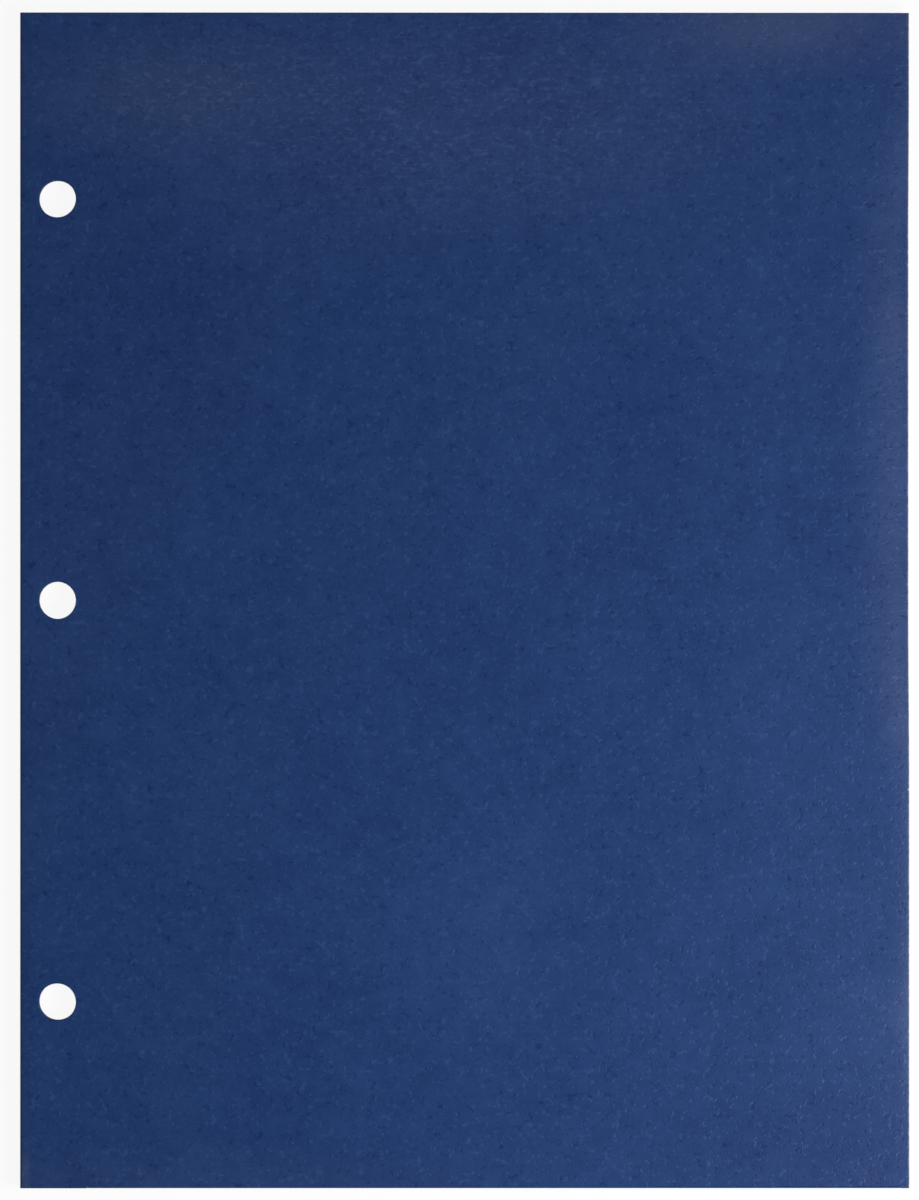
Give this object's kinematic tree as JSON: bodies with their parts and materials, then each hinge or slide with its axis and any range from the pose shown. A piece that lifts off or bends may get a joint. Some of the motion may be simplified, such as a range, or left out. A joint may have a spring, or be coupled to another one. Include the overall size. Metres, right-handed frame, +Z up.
{
  "type": "four pocket folder",
  "caption": "Card folder with a hinged front cover, spine and back cover round a centre divider, a pocket along the bottom of every leaf, and ring holes beside the spine.",
  "frame": {"origin": "middle of the closed folder's box, on the surface that its back cover lies on", "axes": "+X from the spine to the fore edge, +Y from the pockets' end to the top edge, +Z up out of the front cover"},
  "size_m": [0.239, 0.316, 0.0064],
  "materials": {
    "cover_card": "satin",
    "divider_card": "satin",
    "glue": "satin"
  },
  "bodies": {
    "back_cover": {"back_cover": "cover_card", "back_pocket": "cover_card", "back_pocket_fold": "cover_card", "back_pocket_tab": "cover_card", "back_pocket_glue": "glue"},
    "spine": {"spine": "cover_card", "front_crease": "cover_card", "back_crease": "cover_card", "divider_front_ply": "divider_card", "divider_front_pocket": "divider_card", "divider_front_pocket_fold": "divider_card", "divider_front_pocket_tab": "divider_card", "divider_front_pocket_glue": "glue", "divider_front_flange": "divider_card", "divider_front_flange_glue": "glue", "divider_back_ply": "divider_card", "divider_back_pocket": "divider_card", "divider_back_pocket_fold": "divider_card", "divider_back_pocket_tab": "divider_card", "divider_back_pocket_glue": "glue", "divider_back_flange": "divider_card", "divider_back_flange_glue": "glue", "divider_fold": "divider_card", "divider_glue_spine_side": "glue", "divider_glue_fore_side": "glue"},
    "front_cover": {"front_cover": "cover_card", "front_pocket": "cover_card", "front_pocket_fold": "cover_card", "front_pocket_tab": "cover_card", "front_pocket_glue": "glue"}
  },
  "joints": [
    {"name": "front_cover_hinge", "type": "hinge", "parent": "spine", "child": "front_cover", "pos_m": [-0.11933, 0, 0.00622], "axis": [0, -1, 0], "range_deg": [0, 180]},
    {"name": "back_cover_hinge", "type": "hinge", "parent": "spine", "child": "back_cover", "pos_m": [-0.11933, 0, 0.00017], "axis": [0, 1, 0], "range_deg": [0, 180]}
  ]
}
